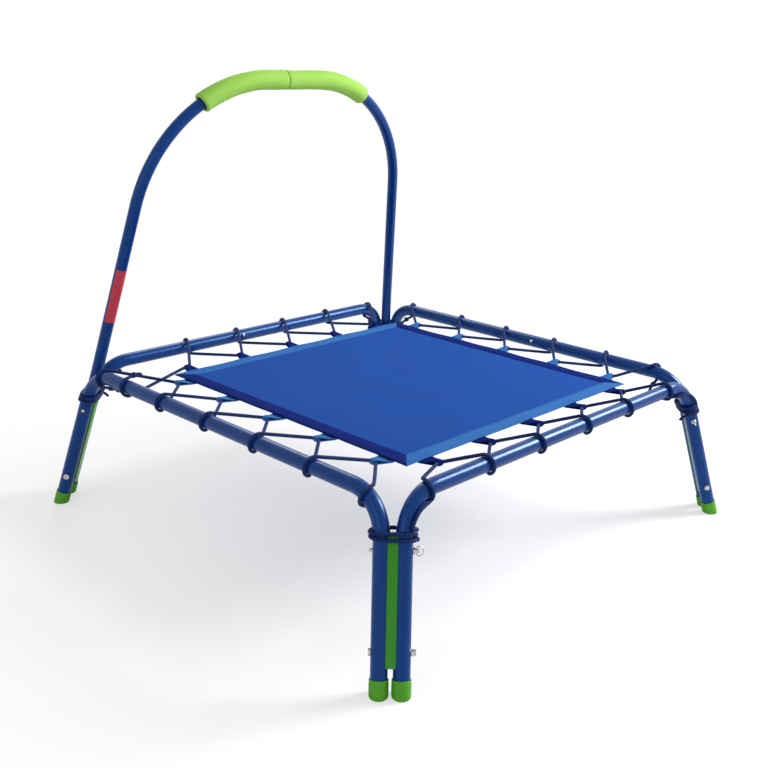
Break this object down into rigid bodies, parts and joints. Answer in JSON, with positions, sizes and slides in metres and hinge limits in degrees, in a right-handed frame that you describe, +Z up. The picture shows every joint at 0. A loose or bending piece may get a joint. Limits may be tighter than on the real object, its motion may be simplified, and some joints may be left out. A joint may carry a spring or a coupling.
{
  "type": "trampoline",
  "caption": "Child's square indoor trampoline: bent steel tube frame, mat laced with elastic cord, foam covered grab handle.",
  "frame": {"origin": "on the floor under the middle of the square frame", "axes": "+Z up; +Y towards the side with the handle; +X to the right of someone who stands at the open side and faces the handle"},
  "size_m": [0.978, 0.978, 0.8295],
  "materials": {
    "tube_blue": "glossy royal blue powder coat on steel tube",
    "cap_lime": "lime green moulded plastic",
    "spacer_green": "mid green moulded plastic",
    "foam_lime": "lime green closed-cell foam",
    "hardware_steel": "bright zinc or nickel plate",
    "spring_steel": "plain spring steel",
    "raw_steel": "bare drawn steel",
    "band_red": "plain red film",
    "mat_mesh": "woven polypropylene mesh, mid blue",
    "webbing_navy": "navy webbing",
    "webbing_azure": "azure webbing",
    "cord_navy": "navy braided sheath over an elastic core"
  },
  "bodies": {
    "frame": {"left_rail_front_half": "tube_blue", "left_rail_back_half": "tube_blue", "right_rail_front_half": "tube_blue", "right_rail_back_half": "tube_blue", "front_rail_left_half": "tube_blue", "front_rail_right_half": "tube_blue", "back_rail_left_half": "tube_blue", "back_rail_right_half": "tube_blue", "foot_cap_front_left_side": "cap_lime", "foot_cap_front_left_front": "cap_lime", "leg_spacer_front_left": "spacer_green", "foot_cap_front_right_side": "cap_lime", "foot_cap_front_right_front": "cap_lime", "leg_spacer_front_right": "spacer_green", "foot_cap_back_left_side": "cap_lime", "foot_cap_back_left_back": "cap_lime", "leg_spacer_back_left": "spacer_green", "foot_cap_back_right_side": "cap_lime", "foot_cap_back_right_back": "cap_lime", "leg_spacer_back_right": "spacer_green", "lower_bolts": "hardware_steel", "lower_nuts": "hardware_steel", "handle_left_half": "tube_blue", "handle_right_half": "tube_blue", "foam_grip_left": "foam_lime", "foam_grip_right": "foam_lime", "handle_inner_sleeve": "raw_steel", "handle_band": "band_red", "corner_lashings": "cord_navy", "button_spring_left": "spring_steel", "elastic_cord_left": "cord_navy", "button_spring_front": "spring_steel", "elastic_cord_front": "cord_navy", "button_spring_right": "spring_steel", "elastic_cord_right": "cord_navy", "button_spring_back": "spring_steel", "elastic_cord_back": "cord_navy"},
    "mat": {"mat_bed": "mat_mesh", "hem_left": "webbing_navy", "tabs_left": "webbing_azure", "hem_front": "webbing_azure", "tabs_front": "webbing_navy", "hem_right": "webbing_navy", "tabs_right": "webbing_azure", "hem_back": "webbing_azure", "tabs_back": "webbing_navy"},
    "ring_pin_front_left": {"ring_pin_front_left": "hardware_steel"},
    "pin_ring_front_left": {"pin_ring_front_left": "hardware_steel"},
    "ring_pin_front_right": {"ring_pin_front_right": "hardware_steel"},
    "pin_ring_front_right": {"pin_ring_front_right": "hardware_steel"},
    "ring_pin_back_left": {"ring_pin_back_left": "hardware_steel"},
    "pin_ring_back_left": {"pin_ring_back_left": "hardware_steel"},
    "ring_pin_back_right": {"ring_pin_back_right": "hardware_steel"},
    "pin_ring_back_right": {"pin_ring_back_right": "hardware_steel"},
    "spring_button_left": {"spring_button_left": "hardware_steel"},
    "spring_button_right": {"spring_button_right": "hardware_steel"},
    "spring_button_front": {"spring_button_front": "hardware_steel"},
    "spring_button_back": {"spring_button_back": "hardware_steel"}
  },
  "joints": [
    {"name": "mat_bounce", "type": "slide", "parent": "frame", "child": "mat", "axis": [0, 0, 1], "range_m": [-0.1, 0.012], "stiffness_N_per_m": 6000, "deforming": ["elastic_cord_left", "elastic_cord_front", "elastic_cord_right", "elastic_cord_back"]},
    {"name": "ring_pin_front_left_pull", "type": "slide", "parent": "frame", "child": "ring_pin_front_left", "axis": [0.7071, -0.7071, 0], "range_m": [0, 0.062]},
    {"name": "pin_ring_front_left_swing", "type": "hinge", "parent": "ring_pin_front_left", "child": "pin_ring_front_left", "pos_m": [-0.39609, -0.44453, 0.198], "axis": [-0.2061, -0.2061, -0.9566], "range_deg": [-80, 80]},
    {"name": "ring_pin_front_right_pull", "type": "slide", "parent": "frame", "child": "ring_pin_front_right", "axis": [-0.7071, -0.7071, 0], "range_m": [0, 0.062]},
    {"name": "pin_ring_front_right_swing", "type": "hinge", "parent": "ring_pin_front_right", "child": "pin_ring_front_right", "pos_m": [0.39609, -0.44453, 0.198], "axis": [0.2061, -0.2061, -0.9566], "range_deg": [-80, 80]},
    {"name": "ring_pin_back_left_pull", "type": "slide", "parent": "frame", "child": "ring_pin_back_left", "axis": [0.7071, 0.7071, 0], "range_m": [0, 0.078]},
    {"name": "pin_ring_back_left_swing", "type": "hinge", "parent": "ring_pin_back_left", "child": "pin_ring_back_left", "pos_m": [-0.38485, 0.44453, 0.198], "axis": [-0.2061, 0.2061, -0.9566], "range_deg": [-80, 80]},
    {"name": "ring_pin_back_right_pull", "type": "slide", "parent": "frame", "child": "ring_pin_back_right", "axis": [-0.7071, 0.7071, 0], "range_m": [0, 0.078]},
    {"name": "pin_ring_back_right_swing", "type": "hinge", "parent": "ring_pin_back_right", "child": "pin_ring_back_right", "pos_m": [0.38485, 0.44453, 0.198], "axis": [0.2061, 0.2061, -0.9566], "range_deg": [-80, 80]},
    {"name": "spring_button_left_press", "type": "slide", "parent": "frame", "child": "spring_button_left", "axis": [-0.9659, 0, -0.2588], "range_m": [0, 0.0045], "stiffness_N_per_m": 1500, "springref_m": -0.002, "deforming": ["button_spring_left"]},
    {"name": "spring_button_right_press", "type": "slide", "parent": "frame", "child": "spring_button_right", "axis": [0.9659, 0, -0.2588], "range_m": [0, 0.0045], "stiffness_N_per_m": 1500, "springref_m": -0.002, "deforming": ["button_spring_right"]},
    {"name": "spring_button_front_press", "type": "slide", "parent": "frame", "child": "spring_button_front", "axis": [0, -0.9659, -0.2588], "range_m": [0, 0.0045], "stiffness_N_per_m": 1500, "springref_m": -0.002, "deforming": ["button_spring_front"]},
    {"name": "spring_button_back_press", "type": "slide", "parent": "frame", "child": "spring_button_back", "axis": [0, 0.9659, -0.2588], "range_m": [0, 0.0045], "stiffness_N_per_m": 1500, "springref_m": -0.002, "deforming": ["button_spring_back"]}
  ]
}
